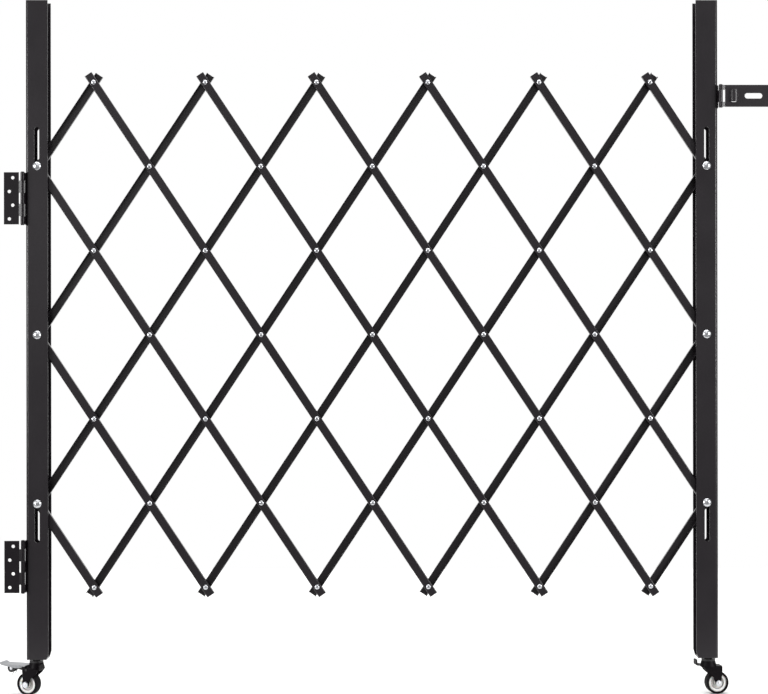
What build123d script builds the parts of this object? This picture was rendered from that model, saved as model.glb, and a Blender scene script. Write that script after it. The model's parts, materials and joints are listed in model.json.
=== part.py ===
from build123d import *
import math
import os

# Folding security gate: two channel posts joined by a lattice of crossing
# channel bars that folds sideways. The left post hangs on two butt hinges
# whose wall leaves are fixed, and both posts roll on small swivel casters.
# Millimetres, X to the right along the gate, Y away from the viewer, Z up.
# The origin is the middle of the lower wall leaf's rear face.

# Heights above the floor
post_top_height = 1527.5
middle_row_height = 793.5
lower_hinge_height = 286.5
upper_hinge_height = 1092.0
hasp_height = 1315.5

# Posts: a bent channel whose open side takes the ends of the lattice
post_width = 48.0
post_depth = 38.0
post_sheet = 2.0
post_bend = 4.0
post_corner_run = 4.0
post_corner_rise = 14.0
base_plate_sheet = 4.0
bolt_line_inset = 24.0

# Lattice of channel bars, leaning from the vertical by an angle in degrees
rows = 6
columns = 12
pivot_spacing = 222.0
rest_lean = 33.5
folded_lean = 3.0
bar_width = 18.0
bar_depth = 9.0
bar_sheet = 1.6
bar_bend = 2.0
bar_overhang = 12.5
layer_gap = 0.8

# Rivets and the post bolts that the bars turn on
running_clearance = 0.05
rivet_radius = 3.0
rivet_head_radius = 6.0
rivet_head_height = 2.2
bolt_radius = 4.75
bolt_head_radius = 9.8
bolt_head_height = 4.5
bolt_collar_radius = 7.5
bolt_collar_clearance = 0.4
bolt_nut_flats = 17.0
bolt_nut_height = 7.0
bolt_tail = 3.0
slot_side_clearance = 0.75
slot_end_play = 6.8

# Butt hinges between the wall and the left post
barrel_radius = 4.5
pin_radius = 2.5
pin_head_radius = 3.6
pin_head_height = 1.5
leaf_sheet = 2.0
leaf_reach = 40.2
leaf_gap = 1.0
leaf_notch = 7.6
web_leaf_face = 5.4
leaf_swage = 6.5
knuckle_clearance = 0.15
hinge_knuckles = [18.0, 27.0, 24.0, 27.0, 18.0]
leaf_hole_radius = 3.75
leaf_hole_near = 20.9
leaf_hole_far = 28.4
leaf_hole_pitch = 30.0
swing_clearance = 5.0

# Hasp strap on the right post
hasp_knuckles = [11.0, 26.0, 11.0]
hasp_leaf_reach = 35.0
hasp_reach = 107.0
hasp_notch = 9.2
hasp_corner = 1.5
hasp_slot_margin = 16.0
hasp_slot_length = 39.0
hasp_slot_width = 12.0
loop_centre = 28.4
loop_radius = 9.0
loop_sheet = 2.0
loop_height = 27.0
loop_corner = 6.0

# Caster wheels, in a frame of their own: u is the way the wheel trails
wheel_radius = 25.0
tyre_thickness = 5.0
tyre_edge = 2.0
tyre_side_clearance = 2.0
core_width = 15.0
core_rim = 5.5
core_web = 8.0
core_boss_radius = 8.0
core_boss_clearance = 1.0
axle_radius = 4.0
axle_head_flats = 12.5
axle_head_height = 4.5
caster_trail = 18.5

# Caster forks: crown and two cheeks bent from one sheet, and a swivel head
crown_clearance = 10.0
fork_gap = 24.0
fork_sheet = 2.5
fork_bend = 3.5
fork_front = -13.0
fork_back = 27.5
cheek_front_drop = 1.0
cheek_step_run = 6.5
cheek_step_drop = 10.0
cheek_knee_u = 8.0
cheek_knee_drop = 22.5
cheek_back_drop = 8.0
fork_foot_radius = 6.5
head_radius = 18.0
head_top_radius = 15.0
head_height = 10.5
lip_reach = 24.0
lip_width = 20.0
lip_rise = 13.5
lip_corner = 4.0
lip_drop = 0.5

# Caster stems, screwed into the posts' base plates
stem_inset = 18.4
stem_radius = 5.0
stem_flange_radius = 8.0
stem_flange_height = 3.0
race_radius = 15.0
race_height = 4.2
race_clearance = 0.4
stem_hex_flats = 16.0
stem_hex_height = 3.9
stem_nut_flats = 17.0
stem_nut_height = 7.0
stem_tail = 7.0
left_caster_turn = 162.0
right_caster_turn = 6.5

# Brake pedal on the left caster
pedal_pivot_u = 18.0
pedal_pivot_drop = 3.0
pedal_pin_radius = 2.5
pedal_pin_end = 1.0
pedal_width = 32.0
pedal_gap = 1.0
pedal_head_gap = 2.0
pedal_start_rise = 2.0
pedal_reach = 84.0
pedal_sheet = 2.0
pedal_crease_u = 43.0
pedal_crease_rise = 2.4
pedal_tip_rise = 3.5
pedal_tip_run = 7.0
pedal_flange = 5.0
pedal_arm_inset = 1.0
pedal_arm_sheet = 2.5
pedal_arm_lead = 1.0
pedal_arm_run = 14.0
pedal_arm_drop = 4.0
pedal_crown_clearance = 0.6
shoe_u = 29.0
shoe_sheet = 2.5
shoe_width = 16.0
shoe_clearance = 3.3
eye_u = 59.0
eye_drop = 7.4
eye_outer_radius = 8.5
eye_inner_radius = 3.6
eye_length = 16.0

# How far a cutting shape runs past the face that it cuts
cut_margin = 1.0

# Places that follow from the sizes above
floor_z = -lower_hinge_height
leaf_face = leaf_gap / 2 + leaf_sheet
pin_y = leaf_gap / 2
pin_x = (leaf_reach + leaf_notch) / 2
left_web_x = pin_x + web_leaf_face
left_line_x = left_web_x + bolt_line_inset
column_pitch = pivot_spacing * math.sin(math.radians(rest_lean))
row_pitch = pivot_spacing * math.cos(math.radians(rest_lean))
right_line_x = left_line_x + columns * column_pitch
right_web_x = right_line_x + bolt_line_inset
hasp_x = right_web_x + web_leaf_face
left_stem_x = left_web_x + stem_inset
right_stem_x = right_web_x - stem_inset
post_front = pin_y + leaf_face + swing_clearance
post_back = post_front + post_depth
middle_y = (post_front + post_back) / 2
middle_z = floor_z + middle_row_height
front_face_y = middle_y - layer_gap / 2 - bar_depth
back_face_y = middle_y + layer_gap / 2 + bar_depth
slot_radius = bolt_radius + slot_side_clearance
folded_row_pitch = pivot_spacing * math.cos(math.radians(folded_lean))
slot_travel = 2 * (folded_row_pitch - row_pitch) + slot_end_play
hasp_slot_start = hasp_reach - hasp_slot_margin - hasp_slot_length

# Heights in a caster, from the floor up
crown_low = 2 * wheel_radius + crown_clearance
crown_high = crown_low + fork_sheet
head_top = crown_high + head_height
race_low = head_top + race_clearance
post_bottom_height = race_low + race_height + stem_hex_height
stem_nut_low = post_bottom_height + base_plate_sheet
stem_top = stem_nut_low + stem_nut_height + stem_tail
post_length = post_top_height - post_bottom_height
post_bottom_z = floor_z + post_bottom_height
core_radius = wheel_radius - tyre_thickness
cheek_outer = fork_gap / 2 + fork_sheet
pedal_pivot_height = crown_low - pedal_pivot_drop
pedal_start = head_radius + pedal_head_gap
pedal_start_low = crown_high + pedal_start_rise
flange_start = fork_back + pedal_gap
toe_low = crown_high + pedal_crease_rise
shoe_rise = math.sqrt(wheel_radius ** 2 - (shoe_u - caster_trail) ** 2)
shoe_low = wheel_radius + shoe_rise + shoe_clearance
eye_height = toe_low - eye_drop

ABOVE = (Align.CENTER, Align.CENTER, Align.MIN)


def column_x(column):
    return left_line_x + column * column_pitch


def row_z(row):
    return middle_z + (row - rows / 2) * row_pitch


def disc_z(radius, low, high, x=0.0, y=0.0):
    return Pos(x, y, low) * Cylinder(radius, high - low, align=ABOVE)


def disc_y(radius, front, back, x=0.0, z=0.0):
    return Pos(x, front, z) * Rot(-90, 0, 0) * Cylinder(radius, back - front, align=ABOVE)


def block(x_low, x_high, y_low, y_high, z_low, z_high):
    size = Box(x_high - x_low, y_high - y_low, z_high - z_low)
    return Pos((x_low + x_high) / 2, (y_low + y_high) / 2, (z_low + z_high) / 2) * size


def plate_y(outline, front, back):
    """An outline drawn in X and Z, as a plate between two places on Y."""
    return Pos(0, back, 0) * extrude(Plane.XZ * outline, back - front)


def hex_z(flats, low, high):
    return Pos(0, 0, low) * extrude(RegularPolygon(flats / math.sqrt(3), 6), high - low)


def hex_y(flats, front, back, x=0.0, z=0.0):
    return Pos(x, front, z) * Rot(-90, 0, 0) * hex_z(flats, 0, back - front)


def channel(width, depth, sheet, bend, length):
    """A bent channel along Z: web on the YZ plane, open side towards +X."""
    outer = Pos(width / 2, 0) * Rectangle(width, depth)
    outer = fillet(outer.vertices().group_by(Axis.X)[0], bend)
    inner = Pos(width / 2 + sheet, 0) * Rectangle(width, depth - 2 * sheet)
    inner = fillet(inner.vertices().group_by(Axis.X)[0], max(bend - sheet, bend / 10))
    return extrude(outer - inner, length)


def post_slot(start_z, end_z):
    """An upright slot through both flanges, rounded at its ends."""
    front = post_front - cut_margin
    back = post_back + cut_margin
    low, high = min(start_z, end_z), max(start_z, end_z)
    slot = block(-slot_radius, slot_radius, front, back, low, high)
    slot += disc_y(slot_radius, front, back, z=low)
    return slot + disc_y(slot_radius, front, back, z=high)


def post_channel():
    """A post standing on its bolt line: web on the -X side, open towards +X."""
    shell = Pos(-bolt_line_inset, middle_y, post_bottom_z)
    post = shell * channel(post_width, post_depth, post_sheet, post_bend, post_length)
    for side in (-1, 1):
        start_z = row_z(rows / 2 + 2 * side)
        post -= post_slot(start_z, start_z + side * slot_travel)
    front = post_front - cut_margin
    back = post_back + cut_margin
    post -= disc_y(bolt_radius + running_clearance, front, back, z=middle_z)
    edge_x = post_width - bolt_line_inset
    corner = Polygon(
        (edge_x + cut_margin, post_bottom_z - cut_margin),
        (edge_x + cut_margin, post_bottom_z + post_corner_rise),
        (edge_x, post_bottom_z + post_corner_rise),
        (edge_x - post_corner_run, post_bottom_z),
        (edge_x - post_corner_run, post_bottom_z - cut_margin),
        align=None,
    )
    post -= plate_y(corner, front, back)
    plate = block(
        -bolt_line_inset + post_sheet / 2,
        edge_x - post_corner_run,
        post_front + post_sheet / 2,
        post_back - post_sheet / 2,
        post_bottom_z,
        post_bottom_z + base_plate_sheet,
    )
    hole_low = post_bottom_z - cut_margin
    hole_top = post_bottom_z + base_plate_sheet + cut_margin
    hole_x = stem_inset - bolt_line_inset
    plate -= disc_z(stem_radius + running_clearance, hole_low, hole_top, hole_x, middle_y)
    return post + plate


def post_bolt():
    """A bolt through both flanges and two bar ends, on its own axis at x = z = 0."""
    collar_front = post_front + post_sheet + bolt_collar_clearance
    collar_back = post_back - post_sheet - bolt_collar_clearance
    nut_back = post_back + bolt_nut_height
    head_front = post_front - bolt_head_height
    bolt = disc_y(bolt_radius, (head_front + post_front) / 2, nut_back + bolt_tail)
    bolt += disc_y(bolt_collar_radius, collar_front, front_face_y - bolt_collar_clearance)
    bolt += disc_y(bolt_collar_radius, back_face_y + bolt_collar_clearance, collar_back)
    dome = (bolt_head_radius ** 2 + bolt_head_height ** 2) / (2 * bolt_head_height)
    head = Pos(0, head_front + dome, 0) * Sphere(dome)
    bolt += head & disc_y(bolt_head_radius, head_front - cut_margin, post_front)
    return bolt + hex_y(bolt_nut_flats, post_back, nut_back)


def rising_points(offset):
    """Grid points of a bar that leans right, from its lowest, as (column, row)."""
    points = [(offset + row, row) for row in range(rows + 1)]
    return [p for p in points if 0 <= p[0] <= columns]


def falling_points(total):
    """Grid points of a bar that leans left, from its lowest, as (column, row)."""
    points = [(total - row, row) for row in range(rows + 1)]
    return [p for p in points if 0 <= p[0] <= columns]


def hole_radius(column):
    if column in (0, columns):
        return bolt_radius + running_clearance
    return rivet_radius + running_clearance


def lattice_bar(points, lean, web_in_front):
    """A channel bar with a hole at each grid point, web to the front or the rear."""
    length = (len(points) - 1) * pivot_spacing + 2 * bar_overhang
    bar = channel(bar_depth, bar_width, bar_sheet, bar_bend, length)
    turn = 90 if web_in_front else -90
    web_y = front_face_y if web_in_front else back_face_y
    bar = Pos(0, web_y, -bar_overhang) * Rot(0, 0, turn) * bar
    front = front_face_y - cut_margin
    back = back_face_y + cut_margin
    for number, (column, row) in enumerate(points):
        bar -= disc_y(hole_radius(column), front, back, z=number * pivot_spacing)
    first_column, first_row = points[0]
    return Pos(column_x(first_column), 0, row_z(first_row)) * Rot(0, lean, 0) * bar


def lattice_rivets(points):
    """The rivets of one bar that leans left, with a head outside each layer."""
    front = front_face_y - rivet_head_height
    back = back_face_y + rivet_head_height
    rivet = disc_y(rivet_radius, front_face_y, back_face_y)
    rivet += disc_y(rivet_head_radius, front, front_face_y)
    rivet += disc_y(rivet_head_radius, back_face_y, back)
    inner = [p for p in points if 0 < p[0] < columns]
    return Compound(children=[Pos(column_x(c), 0, row_z(r)) * rivet for c, r in inner])


def knuckle_spans(heights):
    """Low and high z of each knuckle about the hinge's middle, from the top down."""
    spans = []
    top = sum(heights) / 2
    for height in heights:
        spans.append((top - height + knuckle_clearance, top - knuckle_clearance))
        top -= height
    return spans


def hinge_leaf(heights, own, reach, notch, face):
    """A leaf about a pin on the Z axis: it runs towards -X, its outer face to -Y."""
    half = sum(heights) / 2
    rear = leaf_sheet - face
    barrel_rear = leaf_sheet - barrel_radius
    leaf = block(-reach, -notch, -face, rear, -half, half)
    swage = Polygon(
        (-notch - leaf_sheet, -face),
        (-notch, -face),
        (leaf_swage - notch, -barrel_radius),
        (0, -barrel_radius),
        (0, barrel_rear),
        (leaf_swage - notch, barrel_rear),
        (-notch, rear),
        (-notch - leaf_sheet, rear),
        align=None,
    )
    spans = knuckle_spans(heights)
    for number in own:
        low, high = spans[number]
        leaf += Pos(0, 0, low) * extrude(swage, high - low)
        leaf += disc_z(barrel_radius, low, high)
    return leaf - disc_z(pin_radius + running_clearance, -half - cut_margin, half + cut_margin)


def leaf_hole_places():
    """Distance from the pin and height of the four staggered screw holes."""
    reaches = [leaf_hole_near, leaf_hole_far, leaf_hole_near, leaf_hole_far]
    top = (len(reaches) - 1) / 2
    return [(reach, (top - number) * leaf_hole_pitch) for number, reach in enumerate(reaches)]


def drilled_leaf(own, face):
    leaf = hinge_leaf(hinge_knuckles, own, leaf_reach, leaf_notch, face)
    for reach, height in leaf_hole_places():
        leaf -= disc_y(leaf_hole_radius, -face - cut_margin, cut_margin, x=-reach, z=height)
    return leaf


def hinge_pin(heights):
    half = sum(heights) / 2
    pin = disc_z(pin_radius, -half - pin_head_height, half + pin_head_height)
    pin += disc_z(pin_head_radius, half, half + pin_head_height)
    return pin + disc_z(pin_head_radius, -half - pin_head_height, -half)


def upright_hole(width, height, corner, x):
    """A rounded window through the strap, drawn in X and Z."""
    return plate_y(Pos(x, 0) * RectangleRounded(width, height, corner), -leaf_face - cut_margin, cut_margin)


def padlock_loop():
    """A rounded arch that stands out of the strap's front, open from above to below."""
    half = loop_height / 2
    inner = loop_radius - loop_sheet
    low, high = -half - cut_margin, half + cut_margin
    loop = disc_z(loop_radius, -half, half, x=loop_centre, y=-leaf_face)
    loop -= disc_z(inner, low, high, x=loop_centre, y=-leaf_face)
    loop -= block(loop_centre - loop_radius, loop_centre + loop_radius, leaf_sheet - leaf_face, loop_radius,
                  low, high)
    outline = Pos(loop_centre, 0) * RectangleRounded(2 * loop_radius, loop_height, loop_corner)
    return loop & plate_y(outline, -leaf_face - loop_radius - cut_margin, leaf_sheet - leaf_face)


def hasp_strap():
    """The strap about its pin on the Z axis: it runs towards +X."""
    strap = hinge_leaf(hasp_knuckles, (0, 2), hasp_reach, hasp_notch, leaf_face)
    strap = mirror(strap, about=Plane.YZ)
    outer_edges = strap.edges().filter_by(Axis.Y).group_by(Axis.X)[-1]
    strap = fillet(outer_edges, hasp_corner)
    slot_x = hasp_slot_start + hasp_slot_length / 2
    slot = Pos(slot_x, 0) * SlotOverall(hasp_slot_length, hasp_slot_width)
    strap -= plate_y(slot, -leaf_face - cut_margin, cut_margin)
    inner = loop_radius - loop_sheet
    strap -= upright_hole(2 * inner, loop_height, loop_corner - loop_sheet, loop_centre)
    return strap + padlock_loop()


def turned_z(points):
    """A solid turned about the Z axis from (radius, height) points."""
    return revolve(Plane.XZ * Polygon(*points, align=None), Axis.Z)


def caster_stem():
    """Threaded stem with a race, a hexagon under the base plate and a nut on it."""
    flange_top = crown_low - race_clearance
    race_top = race_low + race_height
    stem = disc_z(stem_radius, flange_top - stem_flange_height, stem_top)
    stem += disc_z(stem_flange_radius, flange_top - stem_flange_height, flange_top)
    stem += disc_z(race_radius, race_low, race_top)
    stem += hex_z(stem_hex_flats, race_top, post_bottom_height)
    return stem + hex_z(stem_nut_flats, stem_nut_low, stem_nut_low + stem_nut_height)


def fork_outline():
    """Side view of a cheek: a step at the front, and a round foot about the axle."""
    outline = Polygon(
        (fork_front, crown_high),
        (fork_front, crown_low - cheek_front_drop),
        (fork_front + cheek_step_run, crown_low - cheek_step_drop),
        (cheek_knee_u, crown_low - cheek_knee_drop),
        (caster_trail - fork_foot_radius, wheel_radius),
        (caster_trail + fork_foot_radius, wheel_radius),
        (fork_back, crown_low - cheek_back_drop),
        (fork_back, crown_high),
        align=None,
    )
    return outline + Pos(caster_trail, wheel_radius) * Circle(fork_foot_radius)


def fork_lip():
    """A tongue that leads the crown, turned up at its end."""
    low = crown_high - lip_drop - fork_sheet
    section = Polygon(
        (fork_front + fork_sheet, low),
        (-lip_reach, low),
        (-lip_reach, low + lip_rise),
        (fork_sheet - lip_reach, low + lip_rise),
        (fork_sheet - lip_reach, low + fork_sheet),
        (fork_front + fork_sheet, low + fork_sheet),
        align=None,
    )
    section = fillet(section.vertices().group_by(Axis.Y)[0].sort_by(Axis.X)[0], fork_bend)
    lip = plate_y(section, -lip_width / 2, lip_width / 2)
    return fillet(lip.edges().filter_by(Axis.X).group_by(Axis.Z)[-1], lip_corner)


def caster_fork(pin_radius):
    """Crown, dished head, lip and two cheeks, with a hole for a pedal's pin if it has one."""
    foot_low = wheel_radius - fork_foot_radius - cut_margin
    outer = Pos(0, (crown_high + foot_low) / 2) * Rectangle(2 * cheek_outer, crown_high - foot_low)
    outer = fillet(outer.vertices().group_by(Axis.Y)[-1], fork_bend)
    hollow = Rectangle(fork_gap, crown_low - foot_low + 2 * cut_margin)
    inner = Pos(0, (crown_low + foot_low) / 2 - cut_margin) * hollow
    inner = fillet(inner.vertices().group_by(Axis.Y)[-1], fork_bend - fork_sheet)
    length = fork_back + fork_foot_radius - fork_front
    bent = Pos(fork_front, 0, 0) * extrude(Plane.YZ * (outer - inner), length)
    fork = bent & plate_y(fork_outline(), -cheek_outer - cut_margin, cheek_outer + cut_margin)
    fork += turned_z([(0, crown_low), (head_radius, crown_low), (head_radius, crown_high),
                      (head_top_radius, head_top), (0, head_top)])
    fork += fork_lip()
    fork -= disc_z(stem_radius + running_clearance, crown_low - cut_margin, head_top + cut_margin)
    side = cheek_outer + cut_margin
    fork -= disc_y(axle_radius + running_clearance, -side, side, x=caster_trail, z=wheel_radius)
    if pin_radius > 0:
        pin_hole = pin_radius + running_clearance
        fork -= disc_y(pin_hole, -side, side, x=pedal_pivot_u, z=pedal_pivot_height)
    return fork


def on_axle(ring):
    """Moves a ring turned about Z onto the caster's axle."""
    return Pos(caster_trail, 0, wheel_radius) * Rot(90, 0, 0) * ring


def caster_tyre():
    half = fork_gap / 2 - tyre_side_clearance
    section = Pos((core_radius + wheel_radius) / 2, 0) * Rectangle(tyre_thickness, 2 * half)
    section = fillet(section.vertices().group_by(Axis.X)[-1], tyre_edge)
    return on_axle(revolve(Plane.XZ * section, Axis.Z))


def caster_core():
    rim = core_width / 2
    web = core_web / 2
    boss = fork_gap / 2 - core_boss_clearance
    bore = axle_radius + running_clearance
    rim_inner = core_radius - core_rim
    return on_axle(turned_z([
        (bore, -boss),
        (core_boss_radius, -boss),
        (core_boss_radius, -web),
        (rim_inner, -web),
        (rim_inner, -rim),
        (core_radius, -rim),
        (core_radius, rim),
        (rim_inner, rim),
        (rim_inner, web),
        (core_boss_radius, web),
        (core_boss_radius, boss),
        (bore, boss),
    ]))


def caster_axle():
    head = cheek_outer + axle_head_height
    place = {"x": caster_trail, "z": wheel_radius}
    axle = disc_y(axle_radius, -cheek_outer, cheek_outer, **place)
    axle += hex_y(axle_head_flats, -head, -cheek_outer, **place)
    return axle + hex_y(axle_head_flats, cheek_outer, head, **place)


def pedal_plate():
    """Bent foot plate: a crease, a raised toe and a curled tip, with turned-down sides."""
    knee_u = pedal_reach - pedal_tip_run
    half = pedal_width / 2
    top = [
        (pedal_reach, toe_low + pedal_tip_rise + pedal_sheet),
        (knee_u, toe_low + pedal_sheet),
        (pedal_crease_u, toe_low + pedal_sheet),
        (pedal_start, pedal_start_low + pedal_sheet),
    ]
    bottom = [
        (pedal_start, pedal_start_low),
        (pedal_crease_u, toe_low),
        (knee_u, toe_low),
        (pedal_reach, toe_low + pedal_tip_rise),
    ]
    plate = plate_y(Polygon(*bottom, *top, align=None), -half, half)
    flange = Polygon(
        (flange_start, pedal_start_low - pedal_flange / 2),
        (pedal_crease_u, toe_low - pedal_flange),
        (knee_u, toe_low),
        (pedal_crease_u, toe_low + pedal_sheet / 2),
        (flange_start, pedal_start_low + pedal_sheet / 2),
        align=None,
    )
    plate += plate_y(flange, -half, pedal_sheet - half)
    return plate + plate_y(flange, half - pedal_sheet, half)


def brake_pedal():
    """Foot plate, two arms to its pin, a brake shoe and a rolled eye."""
    pedal = pedal_plate()
    arm_outer = fork_gap / 2 - pedal_arm_inset
    arm_inner = arm_outer - pedal_arm_sheet
    arm_end = flange_start + pedal_arm_run
    arm_top = crown_low - pedal_crown_clearance
    arm = Polygon(
        (pedal_pivot_u - pedal_arm_lead, pedal_pivot_height - pedal_arm_drop),
        (arm_end, crown_high - pedal_arm_drop),
        (arm_end, toe_low + pedal_sheet / 2),
        (flange_start, pedal_start_low + pedal_sheet / 2),
        (flange_start - pedal_gap / 2, arm_top),
        (pedal_pivot_u - pedal_arm_lead, arm_top),
        align=None,
    )
    pedal += plate_y(arm, arm_inner, arm_outer) + plate_y(arm, -arm_outer, -arm_inner)
    pin_end = cheek_outer + pedal_pin_end
    pedal += disc_y(pedal_pin_radius, -pin_end, pin_end, x=pedal_pivot_u, z=pedal_pivot_height)
    half_shoe = shoe_width / 2
    shoe_high = pedal_start_low + pedal_sheet / 2
    pedal += block(shoe_u, shoe_u + shoe_sheet, -half_shoe, half_shoe, shoe_low, shoe_high)
    half_eye = eye_length / 2
    eye = disc_y(eye_outer_radius, -half_eye, half_eye, x=eye_u, z=eye_height)
    neck = pedal_sheet
    eye += block(eye_u - neck, eye_u + neck, -half_eye, half_eye, eye_height, toe_low + pedal_sheet / 2)
    side = half_eye + cut_margin
    return pedal + (eye - disc_y(eye_inner_radius, -side, side, x=eye_u, z=eye_height))


def lattice_nodes():
    nodes = {}
    for number, total in enumerate(range(1, rows + columns, 2), start=1):
        points = falling_points(total)
        nodes[f"front_bar_{number}"] = lattice_bar(points, -rest_lean, True)
        nodes[f"rivets_{number}"] = lattice_rivets(points)
    for number, offset in enumerate(range(1 - rows, columns, 2), start=1):
        nodes[f"rear_bar_{number}"] = lattice_bar(rising_points(offset), rest_lean, False)
    return nodes


def post_nodes():
    left = Pos(left_line_x, 0, 0) * post_channel()
    right = Pos(right_line_x, 0, 0) * mirror(post_channel(), about=Plane.YZ)
    nodes = {"left_post": left, "right_post": right}
    bolt = post_bolt()
    levels = {"lower": rows / 2 - 2, "middle": rows / 2, "upper": rows / 2 + 2}
    for side, x in (("left", left_line_x), ("right", right_line_x)):
        for level, row in levels.items():
            nodes[f"{side}_bolt_{level}"] = Pos(x, 0, row_z(row)) * bolt
    return nodes


def hinge_nodes():
    nodes = {}
    wall_leaf = drilled_leaf((1, 3), leaf_face)
    post_leaf = mirror(drilled_leaf((0, 2, 4), web_leaf_face), about=Plane.XZ)
    post_leaf = Rot(0, 0, -90) * post_leaf
    for level, height in (("lower", lower_hinge_height), ("upper", upper_hinge_height)):
        place = Pos(pin_x, pin_y, floor_z + height)
        nodes[f"{level}_wall_leaf"] = place * wall_leaf
        nodes[f"{level}_post_leaf"] = place * post_leaf
        nodes[f"{level}_hinge_pin"] = place * hinge_pin(hinge_knuckles)
    return nodes


def hasp_nodes():
    place = Pos(hasp_x, pin_y, floor_z + hasp_height)
    leaf = hinge_leaf(hasp_knuckles, (1,), hasp_leaf_reach, hasp_notch, web_leaf_face)
    return {
        "hasp_strap": place * hasp_strap(),
        "hasp_leaf": place * Rot(0, 0, -90) * leaf,
        "hasp_pin": place * hinge_pin(hasp_knuckles),
    }


def caster_nodes():
    nodes = {}
    sides = (
        ("left", left_stem_x, left_caster_turn, pedal_pin_radius),
        ("right", right_stem_x, right_caster_turn, 0),
    )
    for side, x, turn, pin_radius in sides:
        place = Pos(x, middle_y, floor_z) * Rot(0, 0, turn)
        nodes[f"{side}_caster_stem"] = place * caster_stem()
        nodes[f"{side}_caster_fork"] = place * caster_fork(pin_radius)
        nodes[f"{side}_caster_tyre"] = place * caster_tyre()
        nodes[f"{side}_caster_core"] = place * caster_core()
        nodes[f"{side}_caster_axle"] = place * caster_axle()
        if side == "left":
            nodes["brake_pedal"] = place * brake_pedal()
    return nodes


def main():
    os.makedirs("parts", exist_ok=True)
    nodes = {}
    nodes.update(hinge_nodes())
    nodes.update(post_nodes())
    nodes.update(lattice_nodes())
    nodes.update(hasp_nodes())
    nodes.update(caster_nodes())
    for name, shape in nodes.items():
        export_step(shape, f"parts/{name}.step")
    print(len(nodes), "nodes written")


if __name__ == "__main__":
    main()
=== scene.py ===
import json
import math

import bpy
from bpy.props import FloatProperty, FloatVectorProperty, IntProperty, PointerProperty
from bpy.types import Operator, Panel, PropertyGroup
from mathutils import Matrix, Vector

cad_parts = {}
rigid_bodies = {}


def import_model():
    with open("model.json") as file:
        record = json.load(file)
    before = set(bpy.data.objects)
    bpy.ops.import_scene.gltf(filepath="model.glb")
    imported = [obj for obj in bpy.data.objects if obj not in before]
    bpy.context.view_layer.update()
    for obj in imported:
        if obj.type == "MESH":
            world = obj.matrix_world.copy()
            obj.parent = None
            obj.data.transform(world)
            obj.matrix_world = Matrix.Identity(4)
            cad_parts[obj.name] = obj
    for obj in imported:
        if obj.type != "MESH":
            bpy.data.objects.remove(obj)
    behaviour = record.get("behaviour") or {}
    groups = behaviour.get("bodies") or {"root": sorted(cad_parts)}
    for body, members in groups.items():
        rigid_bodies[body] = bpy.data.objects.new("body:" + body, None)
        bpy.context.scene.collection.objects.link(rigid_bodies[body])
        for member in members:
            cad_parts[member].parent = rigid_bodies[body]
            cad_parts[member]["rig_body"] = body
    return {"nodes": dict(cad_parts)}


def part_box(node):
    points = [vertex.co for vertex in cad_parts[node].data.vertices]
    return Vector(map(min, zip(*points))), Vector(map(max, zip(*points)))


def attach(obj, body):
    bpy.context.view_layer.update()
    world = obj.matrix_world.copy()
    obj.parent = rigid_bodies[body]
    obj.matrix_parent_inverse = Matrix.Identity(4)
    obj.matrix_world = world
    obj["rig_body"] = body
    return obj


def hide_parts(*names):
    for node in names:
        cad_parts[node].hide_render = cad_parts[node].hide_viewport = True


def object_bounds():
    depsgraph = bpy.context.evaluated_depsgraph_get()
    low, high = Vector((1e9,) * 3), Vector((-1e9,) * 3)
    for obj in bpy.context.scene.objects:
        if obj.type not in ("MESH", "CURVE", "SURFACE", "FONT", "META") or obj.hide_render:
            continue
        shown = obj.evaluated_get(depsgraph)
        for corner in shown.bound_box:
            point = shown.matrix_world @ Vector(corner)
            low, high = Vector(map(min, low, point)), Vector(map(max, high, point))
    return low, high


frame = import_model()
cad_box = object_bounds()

bl_info = {
    "name": "Folding security gate",
    "version": (1, 0, 0),
    "blender": (4, 5, 0),
    "location": "3D View > Sidebar > Gate",
    "description": "Finishes, fasteners and a studio stage for a folding scissor gate",
    "category": "Object",
}

MM = 0.001
# Crossings of the lattice, counted from its lower left corner, and bars in each of its layers.
COLUMNS = 12
TOP_ROW = 6
BARS = 9
# How far each caster is turned about the vertical. The left one's pedal points along its own X.
LEFT_CASTER_TURN = math.radians(162.0)
RIGHT_CASTER_TURN = math.radians(6.5)
# Play under the heads of rivets and bolts, so that nothing rubs as the gate folds.
HEAD_PLAY = 0.03 * MM


def linear(hex_colour):
    """Turns an sRGB hex colour into the linear values that shaders mix."""
    channels = [int(hex_colour[start:start + 2], 16) / 255 for start in (1, 3, 5)]
    return [c / 12.92 if c <= 0.04045 else ((c + 0.055) / 1.055) ** 2.4 for c in channels]


def middle(node):
    """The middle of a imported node's box."""
    low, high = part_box(node)
    return (low + high) / 2


rivet_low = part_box("rivets_5")[0]
bar_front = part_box("front_bar_5")[0].y
bar_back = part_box("rear_bar_5")[1].y
post_front, post_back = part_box("left_post")[0].y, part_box("left_post")[1].y


def length(name, description, default):
    """A length that the panel shows in the scene's units."""
    return FloatProperty(name=name, description=description, default=default, min=0.0,
                         precision=5, subtype="DISTANCE", unit="LENGTH")


def colour(name, description, hex_colour):
    """A colour that the panel shows as a swatch."""
    return FloatVectorProperty(name=name, description=description, default=linear(hex_colour),
                               size=3, min=0.0, max=1.0, subtype="COLOR")


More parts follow.
